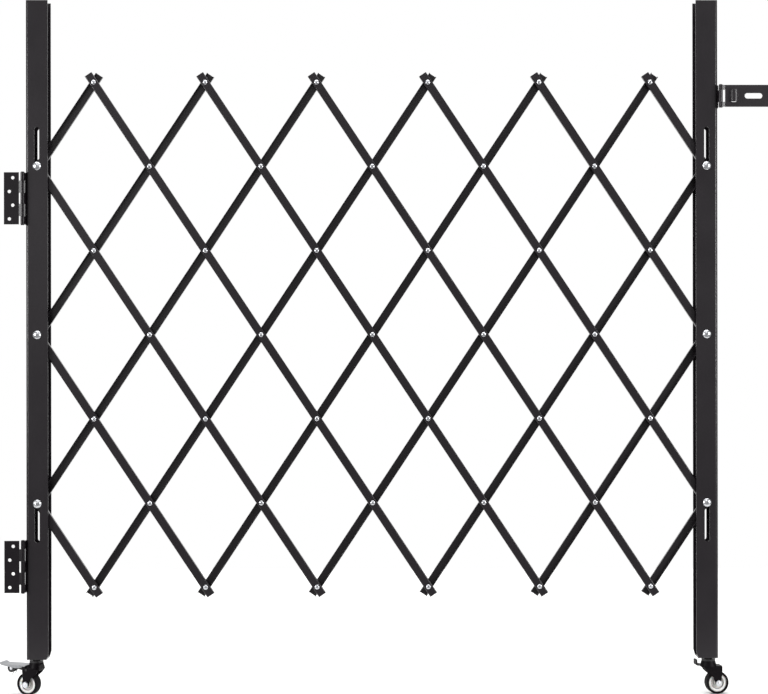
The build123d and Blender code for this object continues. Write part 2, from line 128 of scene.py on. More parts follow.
class GateHardwareSizes(PropertyGroup):
    """Sizes of the fasteners and small hardware."""

    rivet_head: length("Rivet head", "Radius of a lattice rivet's head", 5.3 * MM)
    rivet_shank: length("Rivet shank", "Radius of a lattice rivet's shank", 3.0 * MM)
    rivet_bore: length("Rivet bore", "Radius of the hollow in a rivet's head", 1.35 * MM)
    rivet_dome: length("Rivet dome", "How far a rivet's head stands out", bar_front - rivet_low.y)
    bolt_head: length("Bolt head", "Radius of a post bolt's domed head", 9.15 * MM)
    bolt_shank: length("Bolt shank", "Radius of a post bolt's shank", 4.75 * MM)
    bolt_collar: length("Bolt collar", "Radius of the collars beside the bars", 7.5 * MM)
    bolt_nut: length("Bolt nut", "Width across the flats of a post bolt's nut", 17.0 * MM)
    bolt_nut_height: length("Nut height", "Height of a post bolt's nut", 7.0 * MM)
    thread_pitch: length("Thread pitch", "Distance from one thread to the next", 1.0 * MM)
    screw_head: length("Screw head", "Radius of a hinge screw's head", 5.2 * MM)
    screw_dome: length("Screw dome", "How far a hinge screw's head stands out", 2.2 * MM)
    bar_end: length("Bar end", "How much further a lattice bar runs past its end rivet", 8.5 * MM)
    weld_bead: length("Weld bead", "Radius of a weld bead", 1.7 * MM)
    axle_flats: length("Axle flats", "Width across the flats of a wheel's axle head", 12.5 * MM)
    axle_head: length("Axle head", "Height of a wheel's axle head", 4.5 * MM)
    eye_pin: length("Eye pin", "Radius of the pin in the brake pedal's eye", 3.5 * MM)
    spring_wire: length("Spring wire", "Radius of the brake spring's wire", 0.55 * MM)
    spring_coil: length("Spring coil", "Radius of the brake spring's turns", 8.3 * MM)
    round_sides: IntProperty(name="Sides", description="Sides of a turned piece", default=28,
                             min=8, max=64)


class GateFinishColours(PropertyGroup):
    """Colours of the finishes."""

    coat: colour("Post and bar coat", "Powder coat of the posts and lattice bars", "#1c181c")
    hinge_coat: colour("Hinge coat", "Powder coat of the butt hinges", "#151115")
    hasp_coat: colour("Hasp coat", "Powder coat of the hasp strap", "#211d21")
    enamel: colour("Caster enamel", "Black enamel of the caster forks", "#0d0a0d")
    # Lighter colour of sheet edges: partly thin powder, partly a painted highlight where edges
    # catch the light.
    edge_coat_and_highlight: colour("Thin coat", "Coat where it is thin over a sheet edge", "#2f2b2f")
    zinc: colour("Zinc", "Bright zinc plate of bolts, rivets and nuts", "#e6e7ea")
    zinc_shade: colour("Zinc shade", "Zinc plate where it has dulled", "#c3c5ca")
    rubber: colour("Rubber", "Moulded rubber of the tyres", "#121012")
    nylon: colour("Wheel core", "Moulded nylon of the wheel cores", "#eeedea")
    floor: colour("Floor", "Painted studio floor", "#f7f7f6")


def power(name, description, default):
    """A light's power that the panel shows in watts."""
    return FloatProperty(name=name, description=description, default=default, min=0.0,
                         unit="POWER")


class GateStageSettings(PropertyGroup):
    """Camera, lights and floor of the studio."""

    camera_place: FloatVectorProperty(name="Camera", description="Place of the camera", size=3,
                                      default=(0.78855, -3.550, 0.478), subtype="TRANSLATION",
                                      unit="LENGTH")
    camera_turn: FloatVectorProperty(name="Camera turn", description="Turn of the camera", size=3,
                                     default=(math.pi / 2 + 0.00042, 0.0014, -0.0071),
                                     subtype="EULER", unit="ROTATION")
    lens: FloatProperty(name="Lens", description="Focal length", default=76.01, unit="CAMERA")
    key_power: power("Key light", "Power of the large front light", 20.0)
    fill_power: power("Fill light", "Power of the low light near the camera", 1.5)
    side_power: power("Side lights", "Power of each tall side light", 58.0)
    top_power: power("Top light", "Power of the light overhead", 110.0)
    back_power: power("Back light", "Power of the light behind", 60.0)
    surround: FloatProperty(name="Surround", description="Brightness of the studio's walls",
                            default=0.3, min=0.0)
    floor_width: length("Floor width", "Length of the floor along the gate", 2.8)
    floor_depth: length("Floor depth", "Length of the floor across the gate", 2.4)


def clear_selection():
    """Leaves edit mode and lets go of every object."""
    active = bpy.context.view_layer.objects.active
    if active is not None and active.mode != "OBJECT":
        bpy.ops.object.mode_set(mode="OBJECT")
    bpy.ops.object.select_all(action="DESELECT")


def take(*pieces):
    """Selects these pieces only, the first as the active one."""
    clear_selection()
    for piece in pieces:
        piece.select_set(True)
    bpy.context.view_layer.objects.active = pieces[0]


def pick_faces(piece, wanted):
    """Enters edit mode with the faces selected for which wanted(centre, normal) holds."""
    take(piece)
    bpy.context.tool_settings.mesh_select_mode = (False, False, True)
    for part in (piece.data.vertices, piece.data.edges):
        for item in part:
            item.select = False
    for face in piece.data.polygons:
        face.select = bool(wanted(face.center, face.normal))
    bpy.ops.object.mode_set(mode="EDIT")


def pick_points(piece, wanted):
    """Enters edit mode with the points selected for which wanted(place) holds."""
    take(piece)
    bpy.context.tool_settings.mesh_select_mode = (True, False, False)
    for part in (piece.data.polygons, piece.data.edges):
        for item in part:
            item.select = False
    for point in piece.data.vertices:
        point.select = bool(wanted(point.co))
    bpy.ops.object.mode_set(mode="EDIT")


def tidy_mesh(piece, smooth_below=35.0):
    """Merges doubles, turns the faces outwards and smooths what isn't an edge."""
    take(piece)
    bpy.ops.object.mode_set(mode="EDIT")
    bpy.ops.mesh.select_all(action="SELECT")
    bpy.ops.mesh.remove_doubles(threshold=0.001 * MM)
    bpy.ops.mesh.normals_make_consistent(inside=False)
    bpy.ops.object.mode_set(mode="OBJECT")
    bpy.ops.object.shade_smooth_by_angle(angle=math.radians(smooth_below))
    return piece


def draw_out(name, sides, rings):
    """Draws a disc out along Z, one (radius, height) ring after another."""
    clear_selection()
    radius, height = rings[0]
    bpy.ops.mesh.primitive_circle_add(vertices=sides, radius=radius, fill_type="NGON")
    piece = bpy.context.object
    piece.name = name
    bpy.ops.object.mode_set(mode="EDIT")
    bpy.ops.mesh.select_all(action="SELECT")
    bpy.ops.transform.translate(value=(0, 0, height))
    for next_radius, next_height in rings[1:]:
        step = (0, 0, next_height - height)
        bpy.ops.mesh.extrude_region_move(TRANSFORM_OT_translate={"value": step})
        factor = next_radius / radius
        bpy.ops.transform.resize(value=(factor, factor, 1), center_override=(0, 0, next_height))
        radius, height = next_radius, next_height
    bpy.ops.object.mode_set(mode="OBJECT")
    return tidy_mesh(piece)


def apply_modifier(piece, kind, **settings):
    """Gives a piece one modifier and applies it."""
    take(piece)
    bpy.ops.object.modifier_add(type=kind)
    modifier = piece.modifiers[-1]
    for name, value in settings.items():
        setattr(modifier, name, value)
    bpy.ops.object.modifier_apply(modifier=modifier.name)
    return piece


def cut(piece, cutter, operation="DIFFERENCE"):
    """Cuts one piece with another and throws the cutter away."""
    apply_modifier(piece, "BOOLEAN", object=cutter, operation=operation, solver="EXACT")
    bpy.data.objects.remove(cutter)
    return piece


def copy_of(piece, name):
    """A copy with its own mesh."""
    take(piece)
    bpy.ops.object.duplicate(linked=False)
    twin = bpy.context.object
    twin.name = name
    return twin


def set_in_place(piece, turn, place):
    """Turns and moves a piece, and puts its place into its mesh."""
    take(piece)
    piece.rotation_euler = turn
    piece.location = place
    bpy.ops.object.transform_apply(location=True, rotation=True, scale=True)
    return piece


def join(name, pieces):
    """Makes one piece of several."""
    take(*pieces)
    if len(pieces) > 1:
        bpy.ops.object.join()
    joined = bpy.context.object
    joined.name = name
    joined.data.name = name
    return joined


def fit(piece, body, material, slot, *nodes):
    """Gives a piece its finish, its body and the nodes that it stands for."""
    piece.data.materials.clear()
    piece.data.materials.append(material)
    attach(piece, body)
    if nodes:
        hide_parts(*nodes)
    return piece


def add_node(tree, kind, inputs=None, **settings):
    """Adds a node with its settings, and sets or links its inputs by name or number."""
    made = tree.nodes.new(kind)
    for name, value in settings.items():
        setattr(made, name, value)
    for name, value in (inputs or {}).items():
        if isinstance(value, bpy.types.NodeSocket):
            tree.links.new(value, made.inputs[name])
        else:
            made.inputs[name].default_value = value
    return made


def start_material(name):
    """An empty material, its node tree and the piece's own coordinates."""
    material = bpy.data.materials.new(name)
    material.use_nodes = True
    tree = material.node_tree
    tree.nodes.clear()
    place = add_node(tree, "ShaderNodeTexCoord").outputs["Object"]
    return material, tree, place


def shade(swatch, factor):
    """A swatch made darker or lighter, as a colour with alpha."""
    return [min(1.0, channel * factor) for channel in swatch] + [1.0]


def per_mm(size):
    """Scale of a pattern whose grains are this many millimetres apart."""
    return 1.0 / (size * MM)


def made_once(build):
    """Keeps a finish that is there already, and builds it the first time only."""
    def find_or_build(name, *settings, **more):
        return bpy.data.materials.get(name) or build(name, *settings, **more)
    return find_or_build


def close_material(material, inputs):
    """Ends a material with its shader, and gives it back."""
    tree = material.node_tree
    shader = add_node(tree, "ShaderNodeBsdfPrincipled", inputs)
    add_node(tree, "ShaderNodeOutputMaterial", {"Surface": shader.outputs["BSDF"]})
    return material


def noise(tree, place, size, detail, **more):
    """Noise whose grains are about this many millimetres apart."""
    inputs = {"Vector": place, "Scale": per_mm(size), "Detail": detail, **more}
    return add_node(tree, "ShaderNodeTexNoise", inputs).outputs["Fac"]


def blend(tree, factor, first, second):
    """Colour that goes from the first to the second as the factor rises."""
    made = add_node(tree, "ShaderNodeMix", {0: factor, 6: first, 7: second}, data_type="RGBA")
    return made.outputs[2]


def spread(tree, value, low, high, start=0.0, end=1.0):
    """A value that goes from low to high while another goes from start to end."""
    made = add_node(tree, "ShaderNodeMapRange",
                    {"Value": value, "From Min": start, "From Max": end,
                     "To Min": low, "To Max": high})
    return made.outputs["Result"]


def calculate(tree, operation, *values):
    """Result of one operation on numbers or sockets."""
    made = add_node(tree, "ShaderNodeMath", dict(enumerate(values)), operation=operation)
    return made.outputs[0]


def relief(tree, height, strength, depth, normal=None, invert=False):
    """Normal of a relief that is this many millimetres deep."""
    inputs = {"Height": height, "Strength": strength, "Distance": depth * MM}
    if normal is not None:
        inputs["Normal"] = normal
    return add_node(tree, "ShaderNodeBump", inputs, invert=invert).outputs["Normal"]


def soft_edge(tree, radius):
    """Normal that is rounded over the edges, by a radius in millimetres."""
    return add_node(tree, "ShaderNodeBevel", {"Radius": radius * MM}, samples=4).outputs["Normal"]


def rolled_corner(tree, place, normal):
    """Normal of a post's flanges, which roll over softly beside the web."""
    across = add_node(tree, "ShaderNodeSeparateXYZ", {"Vector": place}).outputs["X"]
    from_left = calculate(tree, "SUBTRACT", across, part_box("left_post")[0].x)
    from_right = calculate(tree, "SUBTRACT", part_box("right_post")[1].x, across)
    inward = calculate(tree, "MINIMUM", from_left, from_right)
    # The sheet starts to turn 6.3 mm from the web's face.
    turned = spread(tree, inward, 1.0, 0.0, 0.0, 6.3 * MM)
    fall = calculate(tree, "POWER", turned, 2.0)
    return relief(tree, fall, 1.0, 2.3, normal, invert=True)


@made_once
def powder_coat(name, swatch, roughness, gloss=0.5, rolled=False):
    """Steel under cured polyester powder: a soft sheen, fine orange peel, thinner and lighter at
    edges, the lighter colour there partly a painted highlight.
    """
    colours = bpy.context.scene.gate_colours
    material, tree, place = start_material(name)
    # The film varies slowly, over about 90 mm, with the pass of the spray gun.
    film = noise(tree, place, 90, 3.0)
    # Peel of 1.5 mm is a little coarser than the real 0.8 mm, so that it shows.
    peel = noise(tree, place, 1.5, 2.0)
    # The powder draws back from a sheet edge, over 0.7 mm. The lighter colour there is partly thin
    # powder and partly a painted highlight of the edge.
    edge = soft_edge(tree, 0.7)
    corner = rolled_corner(tree, place, edge) if rolled else edge
    flat = add_node(tree, "ShaderNodeNewGeometry").outputs["Normal"]
    turn = add_node(tree, "ShaderNodeVectorMath", {0: edge, 1: flat}, operation="DOT_PRODUCT")
    thin = spread(tree, turn.outputs["Value"], 0.0, 0.35, 0.99, 0.80)
    body = blend(tree, film, shade(swatch, 0.82), shade(swatch, 1.18))
    return close_material(material, {
        "Base Color": blend(tree, thin, body, shade(colours.edge_coat_and_highlight, 1.0)),
        "Roughness": spread(tree, film, roughness - 0.06, roughness + 0.06),
        "Normal": relief(tree, peel, 0.5, 0.06, corner),
        "IOR": 1.5,
        "Specular IOR Level": gloss,
    })


def plating(tree, place):
    """Clouds of the passivate, about 6 mm across, and the normal of a grain of 0.35 mm."""
    cloud = noise(tree, place, 6, 4.0)
    grain = noise(tree, place, 0.35, 2.0)
    return cloud, relief(tree, grain, 0.25, 0.02)


@made_once
def zinc_plate(name, roughness):
    """Bright zinc electroplate on steel: a cool mirror gone satin, faintly clouded."""
    colours = bpy.context.scene.gate_colours
    material, tree, place = start_material(name)
    cloud, grain = plating(tree, place)
    return close_material(material, {
        "Base Color": blend(tree, cloud, shade(colours.zinc_shade, 1.0), shade(colours.zinc, 1.0)),
        "Metallic": 1.0,
        "Roughness": spread(tree, cloud, roughness - 0.08, roughness + 0.1),
        "Normal": grain,
    })


def part_plated(material, place, mask, roughness):
    """Ends a material that is dulled zinc where the mask is 1 and black enamel elsewhere."""
    colours = bpy.context.scene.gate_colours
    tree = material.node_tree
    cloud, grain = plating(tree, place)
    plated = blend(tree, cloud, shade(colours.zinc_shade, 0.36), shade(colours.zinc, 0.45))
    dipped = blend(tree, cloud, shade(colours.enamel, 0.8), shade(colours.enamel, 1.3))
    return close_material(material, {
        "Base Color": blend(tree, mask, dipped, plated),
        "Metallic": mask,
        "Roughness": spread(tree, cloud, roughness - 0.06, roughness + 0.1),
        "Normal": grain,
    })


@made_once
def pedal_plate_finish(name):
    """Pedal whose foot plate and turned-down sides are plated, on a black bracket."""
    material, tree, place = start_material(name)
    stem = middle("left_caster_stem")
    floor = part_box("left_caster_tyre")[0].z
    # The caster's own axes: out along the pedal, across it, and up from the floor.
    turned = add_node(tree, "ShaderNodeMapping",
                      {"Vector": place, "Location": (stem.x, stem.y, floor),
                       "Rotation": (0.0, 0.0, LEFT_CASTER_TURN)}, vector_type="TEXTURE")
    parts = add_node(tree, "ShaderNodeSeparateXYZ", {"Vector": turned.outputs["Vector"]})
    across = calculate(tree, "ABSOLUTE", parts.outputs["Y"])
    # The plate starts 64.3 mm up. Its sides are 13.9 mm off the middle, from 27 mm out.
    high = calculate(tree, "GREATER_THAN", parts.outputs["Z"], 64.3 * MM)
    side = calculate(tree, "GREATER_THAN", across, 13.9 * MM)
    beyond = calculate(tree, "GREATER_THAN", parts.outputs["X"], 27.0 * MM)
    flange = calculate(tree, "MULTIPLY", side, beyond)
    mask = calculate(tree, "MAXIMUM", high, flange)
    return part_plated(material, place, mask, 0.42)


@made_once
def stem_finish(name):
    """Threaded stem that is plated above the post's foot and black enamel below it, over the race
    and hexagon.
    """
    material, tree, place = start_material(name)
    height = add_node(tree, "ShaderNodeSeparateXYZ", {"Vector": place}).outputs["Z"]
    mask = calculate(tree, "GREATER_THAN", height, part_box("left_post")[0].z)
    return part_plated(material, place, mask, 0.36)


@made_once
def black_enamel(name):
    """Pressed steel dipped in black enamel: darker than powder, with slow sags."""
    colours = bpy.context.scene.gate_colours
    material, tree, place = start_material(name)
    # Sags of the dip, about 7 mm apart.
    sag = noise(tree, place, 7, 2.0)
    return close_material(material, {
        "Base Color": blend(tree, sag, shade(colours.enamel, 0.8), shade(colours.enamel, 1.3)),
        "Roughness": spread(tree, sag, 0.36, 0.5),
        "Normal": relief(tree, sag, 0.3, 0.15, soft_edge(tree, 0.6)),
        "IOR": 1.52,
        "Specular IOR Level": 0.06,
    })


@made_once
def moulded_rubber(name):
    """Black moulded rubber: matt, with a fine grain and a bloom of dust."""
    colours = bpy.context.scene.gate_colours
    material, tree, place = start_material(name)
    # Bloom in patches of about 9 mm, and the mould's grain of 0.5 mm.
    bloom = noise(tree, place, 9, 3.0)
    grain = noise(tree, place, 0.5, 2.0)
    return close_material(material, {
        "Base Color": blend(tree, bloom, shade(colours.rubber, 0.8), shade(colours.rubber, 1.5)),
        "Roughness": spread(tree, bloom, 0.6, 0.8),
        "Normal": relief(tree, grain, 0.5, 0.05),
        "IOR": 1.52,
        "Specular IOR Level": 0.08,
    })


@made_once
def moulded_nylon(name):
    """Natural moulded nylon: near white, half gloss, with faint flow marks."""
    colours = bpy.context.scene.gate_colours
    material, tree, place = start_material(name)
    # Flow marks of the moulding, about 5 mm apart, and the tool's grain of 0.6 mm.
    flow = noise(tree, place, 5, 2.0, Distortion=0.6)
    grain = noise(tree, place, 0.6, 2.0)
    tone = blend(tree, flow, shade(colours.nylon, 0.92), shade(colours.nylon, 1.0))
    # Painted shade: the core is darkened in its recess, within 9 mm of what stands over it.
    recess_shade_ao = add_node(tree, "ShaderNodeAmbientOcclusion", {"Distance": 9.0 * MM}, samples=8)
    painted_recess_light = spread(tree, recess_shade_ao.outputs["AO"], 0.0, 1.0, 0.25, 0.85)
    return close_material(material, {
        "Base Color": blend(tree, painted_recess_light, shade(colours.nylon, 0.3), tone),
        "Roughness": spread(tree, flow, 0.36, 0.5),
        "Normal": relief(tree, grain, 0.2, 0.03),
        "IOR": 1.53,
        "Subsurface Weight": 0.1,
        "Subsurface Scale": 1.0 * MM,
    })


@made_once
def painted_floor(name):
    """Pale painted floor: matt, with a barely uneven coat."""
    colours = bpy.context.scene.gate_colours
    material, tree, place = start_material(name)
    # Roller marks of about 250 mm.
    marks = noise(tree, place, 250, 3.0)
    return close_material(material, {
        "Base Color": blend(tree, marks, shade(colours.floor, 0.98), shade(colours.floor, 1.0)),
        "Roughness": spread(tree, marks, 0.7, 0.8),
    })


def post_coat():
    """Finish of the posts, whose bends roll over softly."""
    colours = bpy.context.scene.gate_colours
    return powder_coat("powder_coated_post_steel", colours.coat, 0.3, rolled=True)


def bar_coat():
    """Finish of the lattice bars."""
    colours = bpy.context.scene.gate_colours
    return powder_coat("powder_coated_bar_steel", colours.coat, 0.3)


def hinge_coat():
    """Finish of the butt hinges, duller than the posts'."""
    colours = bpy.context.scene.gate_colours
    return powder_coat("powder_coated_hinge_steel", colours.hinge_coat, 0.3, gloss=0.28)


def hasp_coat():
    """Finish of the hasp and its leaf."""
    colours = bpy.context.scene.gate_colours
    return powder_coat("powder_coated_hasp_steel", colours.hasp_coat, 0.32)


def bright_zinc():
    """Finish of the bolts, rivets, screws and axles."""
    return zinc_plate("bright_zinc_plated_steel", 0.3)


def lattice_place(column, row):
    """X and Z of a crossing, from the posts' bolts: they stand in rows 1 and 5."""
    first = middle("left_bolt_lower")
    last = middle("right_bolt_upper")
    x = first.x + (last.x - first.x) * column / COLUMNS
    z = first.z + (last.z - first.z) * (row - 1) / 4
    return x, z


def dome_rings(radius, height, smallest, steps):
    """Rings of a dome from near its tip, at height 0, to its foot."""
    ball = (radius ** 2 + height ** 2) / (2 * height)
    tip = ball - math.sqrt(ball ** 2 - smallest ** 2)
    levels = [tip + (height - tip) * (step / steps) ** 1.6 for step in range(steps + 1)]
    return [(math.sqrt(ball ** 2 - (ball - level) ** 2), level) for level in levels]


def hexagon_nut(name, flats, low, high, chamfer, sides):
    """A hexagon whose corners are turned off at both ends."""
    corner = flats / math.sqrt(3)
    nut = draw_out(name, 6, [(corner, low), (corner, high)])
    edge, clear = flats / 2 * 0.96, corner * 1.01
    turned = draw_out(name + "_turned", sides, [
        (edge, low),
        (clear, low + chamfer),
        (clear, high - chamfer),
        (edge, high),
    ])
    cut(nut, turned, "INTERSECT")
    return tidy_mesh(nut, 20.0)


def cross_recess(piece, span, blade, depth):
    """Cuts a cross recess down from the tip of a head at height 0."""
    for quarter in (0.0, math.pi / 2):
        clear_selection()
        bpy.ops.mesh.primitive_cube_add(size=1.0)
        cutter = bpy.context.object
        pick_faces(cutter, lambda centre, normal: True)
        bpy.ops.transform.resize(value=(span, blade, 2 * depth), center_override=(0, 0, 0))
        pick_faces(cutter, lambda centre, normal: normal.z > 0.5)
        # It narrows towards its bottom.
        bpy.ops.transform.resize(value=(0.35, 0.7, 1), center_override=(0, 0, depth))
        bpy.ops.object.mode_set(mode="OBJECT")
        set_in_place(cutter, (0, 0, quarter), (0, 0, 0))
        cut(piece, cutter)
    return piece


class GATE_OT_finish_steelwork(Operator):
    """Give the posts, bars, hinges, hasp and casters their finishes"""

    bl_idname = "gate.finish_steelwork"
    bl_label = "Finish the steelwork"

    def execute(self, context):
        for name, node in frame["nodes"].items():
            if "tyre" in name:
                material = moulded_rubber("moulded_black_rubber")
            elif "core" in name:
                material = moulded_nylon("moulded_natural_nylon")
            elif "fork" in name:
                material = black_enamel("black_enamelled_pressing")
            elif "pedal" in name:
                material = pedal_plate_finish("plated_pedal_on_black_bracket")
            elif "stem" in name:
                material = stem_finish("plated_stem_black_below_post")
            elif "axle" in name or "bolt" in name or "rivets" in name:
                material = bright_zinc()
            elif "hasp" in name:
                material = hasp_coat()
            elif "leaf" in name or "pin" in name:
                material = hinge_coat()
            elif "bar" in name:
                material = bar_coat()
            else:
                material = post_coat()
            node.data.materials.clear()
            node.data.materials.append(material)
        return {"FINISHED"}


class GATE_OT_lengthen_bars(Operator):
    """Run the lattice bars on past the rivets along the gate's top and bottom"""

    bl_idname = "gate.lengthen_bars"
    bl_label = "Lattice bar ends"

    def execute(self, context):
        further = context.scene.gate_sizes.bar_end
        past_rivet = 9.0 * MM
        corner, crossing = lattice_place(0, 0), lattice_place(1, 1)
        rise = Vector((crossing[0] - corner[0], 0, crossing[1] - corner[1])).normalized()
        for number in range(1, BARS + 1):
            # Each layer's column of the bar in row 0, and the way that it leans.
            layers = (("front", 2 * number - 1, -1), ("rear", 2 * number - 7, 1))
            for layer, first, side in layers:
                node = f"{layer}_bar_{number}"
                made = tidy_mesh(copy_of(frame["nodes"][node], f"lattice_{node}"))
                for row, way in ((0, -1), (TOP_ROW, 1)):
                    column = first + side * row
                    if not 0 < column < COLUMNS:
                        continue
                    x, z = lattice_place(column, row)
                    pivot = Vector((x, 0, z))
                    outward = Vector((side * rise.x, 0, rise.z)) * way
                    pick_points(made, lambda place: outward.dot(place - pivot) > past_rivet)
                    bpy.ops.transform.translate(value=outward * further)
                    bpy.ops.object.mode_set(mode="OBJECT")
                # The flat of the channel keeps its own normal, up to where the bends start.
                apply_modifier(made, "WEIGHTED_NORMAL", weight=100, keep_sharp=True)
                fit(made, frame["nodes"][node]["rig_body"], bar_coat(), "black_steel", node)
        return {"FINISHED"}


class GATE_OT_make_rivets(Operator):
    """Make the domed, hollow-nosed rivets of the lattice"""

    bl_idname = "gate.make_rivets"
    bl_label = "Lattice rivets"

    def execute(self, context):
        sizes = context.scene.gate_sizes
        head, shank = sizes.rivet_head, sizes.rivet_shank
        bore, dome = sizes.rivet_bore, sizes.rivet_dome
        low = dome - HEAD_PLAY
        grip_end = dome + bar_back - bar_front
        high = grip_end + HEAD_PLAY
        # A thin washer lies between the two layers.
        centre = (dome + grip_end) / 2
        washer, half_washer = head * 1.05, 0.35 * MM
        rivet = draw_out("rivet", sizes.round_sides, [
            (bore * 0.9, dome * 0.75),
            (bore, dome * 0.2),
            (bore * 1.25, 0.0),
            (head * 0.5, dome * 0.07),
            (head * 0.72, dome * 0.27),
            (head * 0.9, dome * 0.58),
            (head, dome * 0.9),
            (head, low),
            (shank, low),
            (shank, centre - half_washer),
            (washer, centre - half_washer),
            (washer, centre + half_washer),
            (shank, centre + half_washer),
            (shank, high),
            (head * 0.92, high),
            (head * 0.98, grip_end + dome * 0.2),
            (head * 0.92, grip_end + dome * 0.6),
            (head * 0.75, grip_end + dome * 0.9),
            (head * 0.55, grip_end + dome),
            (head * 0.38, grip_end + dome * 0.85),
            (head * 0.33, grip_end + dome * 0.2),
        ])
        for number in range(1, BARS + 1):
            copies = []
            for row in range(TOP_ROW + 1):
                column = 2 * number - 1 - row
                if not 0 < column < COLUMNS:
                    continue
                x, z = lattice_place(column, row)
                twin = copy_of(rivet, "rivet_copy")
                copies.append(set_in_place(twin, (-math.pi / 2, 0, 0), (x, bar_front - dome, z)))
            made = join(f"rivet_row_{number}", copies)
            fit(made, f"falling_{number}", bright_zinc(), "zinc_plate", f"rivets_{number}")
        bpy.data.objects.remove(rivet)
        return {"FINISHED"}


class GATE_OT_make_post_bolts(Operator):
    """Make the domed bolts, collars and nuts that hold the lattice in the posts"""

    bl_idname = "gate.make_post_bolts"
    bl_label = "Post bolts"

    def execute(self, context):
        sizes = context.scene.gate_sizes
        low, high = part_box("left_bolt_lower")
        start = low.y
        dome = post_front - start
        shank, collar = sizes.bolt_shank, sizes.bolt_collar
        # The posts' sheet, and the play beside the collars.
        sheet, play = 2.0 * MM, 0.4 * MM
        collar_low = dome + sheet + play
        bar_low = bar_front - start - play
        bar_high = bar_back - start + play
        collar_high = post_back - start - sheet - play
        nut_low = post_back - start
        nut_high = nut_low + sizes.bolt_nut_height
        end = high.y - start
        pitch = sizes.thread_pitch
        rim = 0.5 * MM
        rings = dome_rings(sizes.bolt_head, dome - rim, smallest=1.2 * MM, steps=9)
        rings += [
            (sizes.bolt_head, dome - HEAD_PLAY),
            (shank, dome - HEAD_PLAY),
            (shank, collar_low),
            (collar, collar_low),
            (collar, bar_low),
            (shank, bar_low),
            (shank, bar_high),
            (collar, bar_high),
            (collar, collar_high),
            (shank, collar_high),
            (shank, nut_high),
        ]
        level = nut_high
        while level + pitch < end:
            rings += [(shank * 0.9, level + pitch * 0.5), (shank, level + pitch)]
            level += pitch
        rings.append((shank * 0.8, end))
        bolt = draw_out("post_bolt", sizes.round_sides, rings)
        cross_recess(bolt, span=5.2 * MM, blade=1.3 * MM, depth=2.2 * MM)
        tidy_mesh(bolt, 30.0)
        nut = hexagon_nut("post_nut", sizes.bolt_nut, nut_low + 0.05 * MM, nut_high,
                          chamfer=1.0 * MM, sides=sizes.round_sides)
        bolt = join("post_bolt", [bolt, nut])
        for side in ("left", "right"):
            for level in ("lower", "middle", "upper"):
                node = f"{side}_bolt_{level}"
                place = middle(node)
                twin = copy_of(bolt, f"{side}_{level}_post_bolt")
                set_in_place(twin, (-math.pi / 2, 0, 0), (place.x, start, place.z))
                fit(twin, frame["nodes"][node]["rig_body"], bright_zinc(), "zinc_plate", node)
        bpy.data.objects.remove(bolt)
        return {"FINISHED"}


class GATE_OT_make_hinge_screws(Operator):
    """Make the screws that hold the post leaves to the left post"""

    bl_idname = "gate.make_hinge_screws"
    bl_label = "Hinge screws"

    def execute(self, context):
        sizes = context.scene.gate_sizes
        dome = sizes.screw_dome
        rim, shank, leaf_sheet = 0.4 * MM, 3.0 * MM, 2.0 * MM
        rings = dome_rings(sizes.screw_head, dome - rim, smallest=1.0 * MM, steps=7)
        rings += [(sizes.screw_head, dome), (shank, dome), (shank, dome + leaf_sheet)]
        screw = draw_out("hinge_screw", sizes.round_sides, rings)
        cross_recess(screw, span=5.0 * MM, blade=1.2 * MM, depth=1.6 * MM)
        tidy_mesh(screw, 30.0)
        # The staggered holes of a leaf: their pitch, and how far back of the pin each is.
        pin_y, hole_pitch = 0.5 * MM, 30.0 * MM
        hole_reaches = (20.9, 28.4, 20.9, 28.4)
        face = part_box("left_post")[0].x - leaf_sheet
        for level in ("lower", "upper"):
            centre = middle(f"{level}_post_leaf").z
            copies = []
            for number, reach in enumerate(hole_reaches):
                height = centre + (1.5 - number) * hole_pitch
                twin = copy_of(screw, "screw_copy")
                spot = (face - dome, pin_y + reach * MM, height)
                copies.append(set_in_place(twin, (0, math.pi / 2, 0), spot))
            made = join(f"{level}_hinge_screws", copies)
            fit(made, "left_frame", bright_zinc(), "zinc_plate")
        bpy.data.objects.remove(screw)
        return {"FINISHED"}


class GATE_OT_make_axle_nuts(Operator):
    """Make the wheels' axles with their chamfered heads"""

    bl_idname = "gate.make_axle_nuts"
    bl_label = "Wheel axles"

    def execute(self, context):
        sizes = context.scene.gate_sizes
        head = sizes.axle_head
        # Half the width over the fork's cheeks, and the radii of the rod and its thread.
        cheek, rod = 14.5 * MM, 4.0 * MM
        end = rod * 0.72
        nut = head * 0.93
        for side, turn in (("left", LEFT_CASTER_TURN), ("right", RIGHT_CASTER_TURN)):
            node = f"{side}_caster_axle"
            axle = draw_out(node, sizes.round_sides, [
                (end * 0.8, -cheek - head),
                (end, -cheek - head + 0.4 * MM),
                (end, -cheek - head * 0.5),
                (rod, -cheek - head * 0.5),
                (rod, cheek + head * 0.5),
                (end, cheek + head * 0.5),
                (end, cheek + head - 0.4 * MM),
                (end * 0.8, cheek + head),
            ])
            nuts = [hexagon_nut(name, sizes.axle_flats, low, low + nut, chamfer=0.8 * MM,
                                sides=sizes.round_sides)
                    for name, low in (("near_nut", -cheek - nut), ("far_nut", cheek))]
            made = join(f"{side}_wheel_axle", [axle, *nuts])
            set_in_place(made, (-math.pi / 2, 0, 0), (0, 0, 0))
            set_in_place(made, (0, 0, turn), middle(node))
            fit(made, frame["nodes"][node]["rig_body"], bright_zinc(), "zinc_plate", node)
        return {"FINISHED"}


